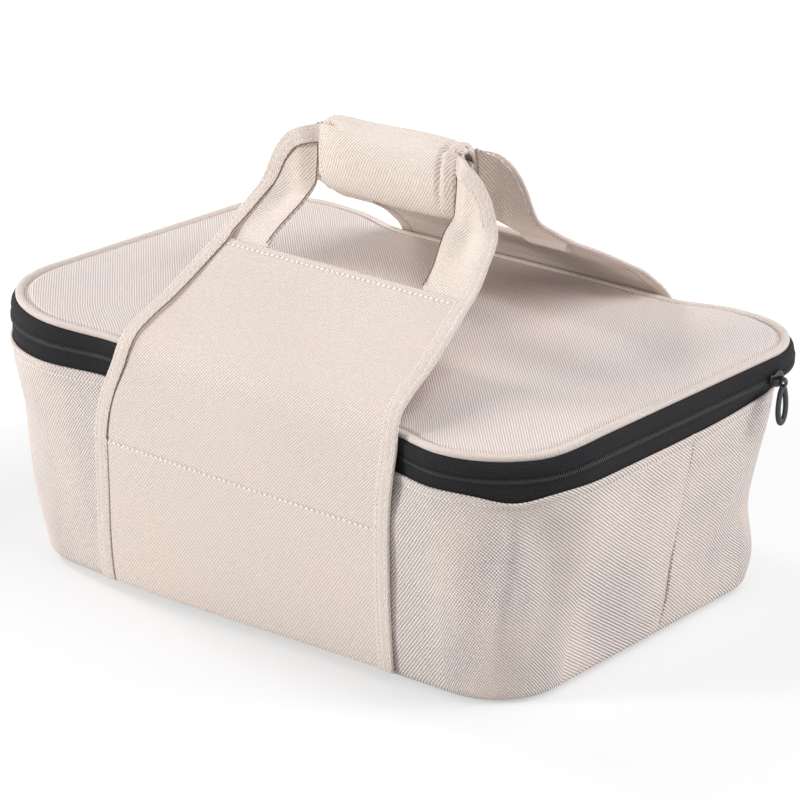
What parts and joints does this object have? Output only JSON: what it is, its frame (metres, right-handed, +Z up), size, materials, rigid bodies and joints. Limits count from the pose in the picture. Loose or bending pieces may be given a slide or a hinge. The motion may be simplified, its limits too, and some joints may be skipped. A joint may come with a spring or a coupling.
{
  "type": "casserole carrier",
  "caption": "Padded cotton twill carrier for a baking dish, with a zipped lid hinged along the rear, slings over both long sides and a padded wrap that binds the handles.",
  "frame": {"origin": "on the surface it stands on, below the middle of the rim", "axes": "+X along the long side towards the end with the zip slider, +Y from front to rear, +Z up"},
  "size_m": [0.4079, 0.2736, 0.249],
  "materials": {
    "canvas": "natural cotton twill",
    "lining": "silvery wipe-clean lining",
    "foam": "soft padding",
    "board": "plain board",
    "zip_tape": "woven black tape",
    "zip_coil": "black coil",
    "slider": "black enamel",
    "pull": "moulded black",
    "cord": "cotton cord",
    "fastening": "hook and loop strip"
  },
  "bodies": {
    "tub": {"base_panel": "canvas", "base_board": "board", "base_foam": "foam", "base_lining": "lining", "front_wall": "canvas", "rear_wall": "canvas", "wall_foam": "foam", "wall_lining": "lining", "rim_binding": "canvas", "zip_tape_lower": "zip_tape", "zip_coil_lower": "zip_coil", "zip_stop_left": "zip_coil", "zip_stop_right": "zip_coil", "hinge_strip": "canvas", "front_sling_sewn": "canvas", "front_sewn_hem_left": "canvas", "front_sewn_hem_right": "canvas", "rear_sling_sewn": "canvas", "rear_sewn_hem_left": "canvas", "rear_sewn_hem_right": "canvas"},
    "lid": {"lid_welt": "canvas", "lid_panel": "canvas", "lid_foam": "foam", "lid_lining": "lining", "lid_rear_edge": "canvas", "zip_tape_upper": "zip_tape", "zip_coil_upper": "zip_coil"},
    "zip_slider": {"zip_slider": "slider"},
    "zip_pull": {"zip_pull": "pull"},
    "front_handle": {"front_sling_panel": "canvas", "front_hem_left": "canvas", "front_hem_right": "canvas", "front_arm_left": "canvas", "front_arm_right": "canvas", "front_bar_cover": "canvas", "front_bar_cord": "cord", "handle_wrap": "canvas", "wrap_loop_strip": "fastening"},
    "rear_handle": {"rear_sling_panel": "canvas", "rear_hem_left": "canvas", "rear_hem_right": "canvas", "rear_arm_left": "canvas", "rear_arm_right": "canvas", "rear_bar_cover": "canvas", "rear_bar_cord": "cord"},
    "wrap_flap": {"wrap_flap": "canvas", "wrap_flap_tail": "canvas", "wrap_hook_strip": "fastening"}
  },
  "joints": [
    {"name": "lid_hinge", "type": "hinge", "parent": "tub", "child": "lid", "pos_m": [0, 0.1357, 0.13065], "axis": [-1, 0, 0], "range_deg": [0, 85]},
    {"name": "front_handle_fold", "type": "hinge", "parent": "tub", "child": "front_handle", "pos_m": [0, -0.1363, 0.088], "axis": [1, 0, 0], "range_deg": [0, 150], "deforming": ["front_sling_panel", "front_hem_left", "front_hem_right", "front_arm_left", "front_arm_right"]},
    {"name": "rear_handle_fold", "type": "hinge", "parent": "tub", "child": "rear_handle", "pos_m": [0, 0.1336, 0.088], "axis": [-1, 0, 0], "range_deg": [0, 150]},
    {"name": "wrap_flap_open", "type": "hinge", "parent": "front_handle", "child": "wrap_flap", "pos_m": [0, 0, 0.2492], "axis": [1, 0, 0], "range_deg": [0, 140]},
    {"name": "zip_slider_travel", "type": "slide", "parent": "tub", "child": "zip_slider", "axis": [0, -1, 0], "range_m": [0, 0.135]},
    {"name": "zip_pull_swing", "type": "hinge", "parent": "zip_slider", "child": "zip_pull", "pos_m": [0.2054, 0.079, 0.1305], "axis": [0, -1, 0], "range_deg": [0, 140]}
  ],
  "couplings": [
    {"joint": "front_handle_fold", "follows": "lid_hinge", "ratio": 1.75},
    {"joint": "rear_handle_fold", "follows": "lid_hinge", "ratio": 1.75}
  ]
}
